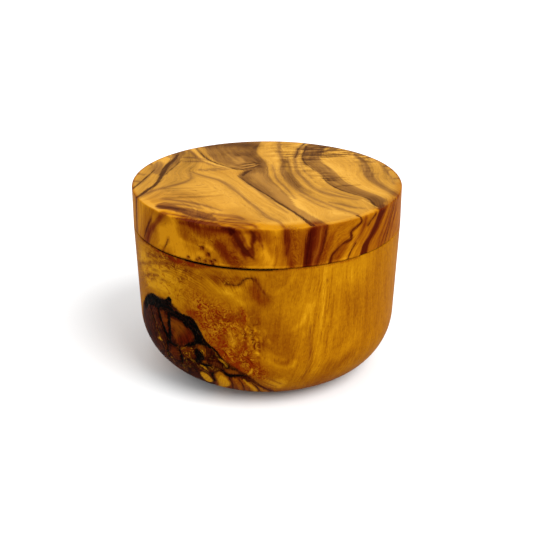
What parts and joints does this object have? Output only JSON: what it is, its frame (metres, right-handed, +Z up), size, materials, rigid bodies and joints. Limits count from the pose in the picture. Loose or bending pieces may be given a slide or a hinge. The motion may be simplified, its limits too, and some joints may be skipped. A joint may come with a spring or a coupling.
{
  "type": "shaving mug",
  "caption": "Round turned wooden shaving mug: a thick-walled bowl holding hard soap, closed by a flat lift-off lid with a locating spigot.",
  "frame": {"origin": "centre of the standing face, on the floor", "axes": "+Z up along the turning axis; -Y towards the side with the dark knot on its left, which faces the viewer"},
  "size_m": [0.1, 0.1, 0.072],
  "materials": {
    "bowl_wood": "oiled and polished burr olive wood",
    "lid_wood": "oiled and polished olive wood with dark figure",
    "soap": "smooth hard soap, worn by a brush"
  },
  "bodies": {
    "bowl": {"bowl": "bowl_wood", "soap": "soap"},
    "lid": {"lid": "lid_wood"}
  },
  "joints": [
    {"name": "lid_lift", "type": "slide", "parent": "bowl", "child": "lid", "axis": [0, 0, 1], "range_m": [0, 0.08]}
  ]
}
